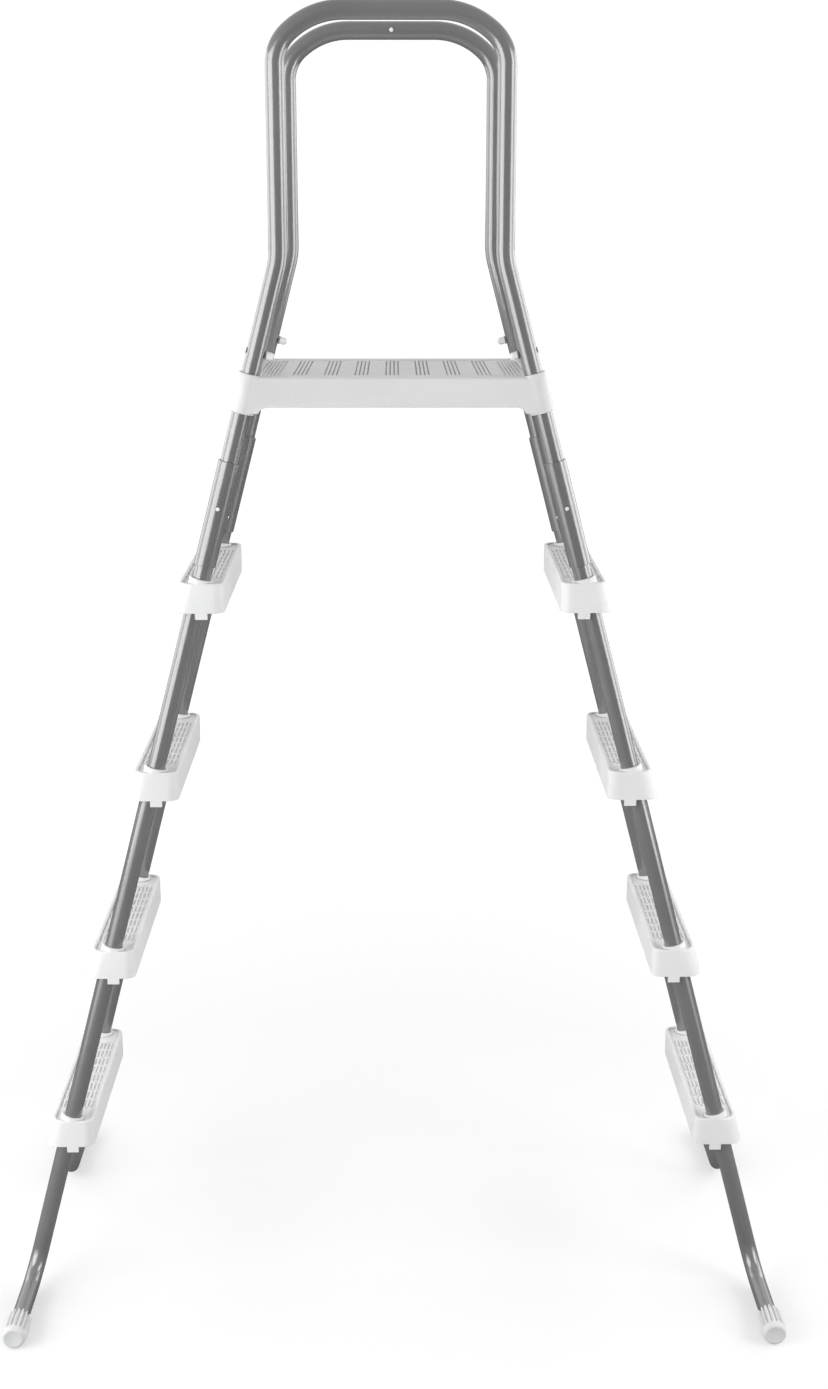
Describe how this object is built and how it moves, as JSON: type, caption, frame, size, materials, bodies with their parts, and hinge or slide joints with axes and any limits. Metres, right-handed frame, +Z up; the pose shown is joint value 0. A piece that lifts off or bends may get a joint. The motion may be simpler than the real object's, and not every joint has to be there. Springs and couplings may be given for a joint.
{
  "type": "a-frame pool ladder",
  "caption": "Free-standing A-frame ladder for an above-ground pool: moulded steps up both sides, a top platform between bent handrails, and plug-in ladder sections locked by snap buttons.",
  "frame": {"origin": "on the floor, below the middle of the platform", "axes": "+X from the left ladder section to the right one, +Y across the width of the steps from near to far, +Z up"},
  "size_m": [1.1484, 0.7, 1.8526],
  "materials": {
    "tube_paint": "glossy warm dark grey powder coat on steel tube",
    "panel_plastic": "light grey moulded plastic, satin",
    "tread_plastic": "light grey moulded plastic, satin, textured tread",
    "fitting_plastic": "near-white moulded plastic",
    "foot_rubber": "light grey soft plastic, fluted",
    "zinc": "zinc plated"
  },
  "bodies": {
    "upper_frame": {"platform": "panel_plastic", "handrail_near": "tube_paint", "rail_plug_near": "fitting_plastic", "handrail_far": "tube_paint", "rail_plug_far": "fitting_plastic", "handrail_bolt_left_near": "zinc", "cap_nut_left_near": "fitting_plastic", "handrail_bolt_left_far": "zinc", "cap_nut_left_far": "fitting_plastic", "handrail_bolt_right_near": "zinc", "cap_nut_right_near": "fitting_plastic", "handrail_bolt_right_far": "zinc", "cap_nut_right_far": "fitting_plastic"},
    "left_ladder": {"sleeve_left_near": "tube_paint", "sleeve_rivet_left_near": "zinc", "leg_left_near": "tube_paint", "foot_cap_left_near": "foot_rubber", "step_pin_left_near_1": "fitting_plastic", "step_pin_left_near_2": "fitting_plastic", "step_pin_left_near_3": "fitting_plastic", "step_pin_left_near_4": "fitting_plastic", "sleeve_left_far": "tube_paint", "sleeve_rivet_left_far": "zinc", "leg_left_far": "tube_paint", "foot_cap_left_far": "foot_rubber", "step_pin_left_far_1": "fitting_plastic", "step_pin_left_far_2": "fitting_plastic", "step_pin_left_far_3": "fitting_plastic", "step_pin_left_far_4": "fitting_plastic", "step_left_1": "tread_plastic", "step_left_2": "tread_plastic", "step_left_3": "tread_plastic", "step_left_4": "tread_plastic"},
    "right_ladder": {"sleeve_right_near": "tube_paint", "sleeve_rivet_right_near": "zinc", "leg_right_near": "tube_paint", "foot_cap_right_near": "foot_rubber", "step_pin_right_near_1": "fitting_plastic", "step_pin_right_near_2": "fitting_plastic", "step_pin_right_near_3": "fitting_plastic", "step_pin_right_near_4": "fitting_plastic", "sleeve_right_far": "tube_paint", "sleeve_rivet_right_far": "zinc", "leg_right_far": "tube_paint", "foot_cap_right_far": "foot_rubber", "step_pin_right_far_1": "fitting_plastic", "step_pin_right_far_2": "fitting_plastic", "step_pin_right_far_3": "fitting_plastic", "step_pin_right_far_4": "fitting_plastic", "step_right_1": "tread_plastic", "step_right_2": "tread_plastic", "step_right_3": "tread_plastic", "step_right_4": "tread_plastic"},
    "button_left_near": {"snap_button_left_near": "fitting_plastic"},
    "button_left_far": {"snap_button_left_far": "fitting_plastic"},
    "button_right_near": {"snap_button_right_near": "fitting_plastic"},
    "button_right_far": {"snap_button_right_far": "fitting_plastic"}
  },
  "joints": [
    {"name": "left_ladder_release", "type": "slide", "parent": "upper_frame", "child": "left_ladder", "axis": [-0.2588, 0, -0.9659], "range_m": [0, 0.1], "deforming": ["snap_button_left_near", "snap_button_left_far"]},
    {"name": "right_ladder_release", "type": "slide", "parent": "upper_frame", "child": "right_ladder", "axis": [0.2588, 0, -0.9659], "range_m": [0, 0.1], "deforming": ["snap_button_right_near", "snap_button_right_far"]},
    {"name": "button_left_near_press", "type": "slide", "parent": "upper_frame", "child": "button_left_near", "axis": [0, 1, 0], "range_m": [0, 0.0045], "stiffness_N_per_m": 300},
    {"name": "button_left_far_press", "type": "slide", "parent": "upper_frame", "child": "button_left_far", "axis": [0, -1, 0], "range_m": [0, 0.0045], "stiffness_N_per_m": 300},
    {"name": "button_right_near_press", "type": "slide", "parent": "upper_frame", "child": "button_right_near", "axis": [0, 1, 0], "range_m": [0, 0.0045], "stiffness_N_per_m": 300},
    {"name": "button_right_far_press", "type": "slide", "parent": "upper_frame", "child": "button_right_far", "axis": [0, -1, 0], "range_m": [0, 0.0045], "stiffness_N_per_m": 300}
  ]
}
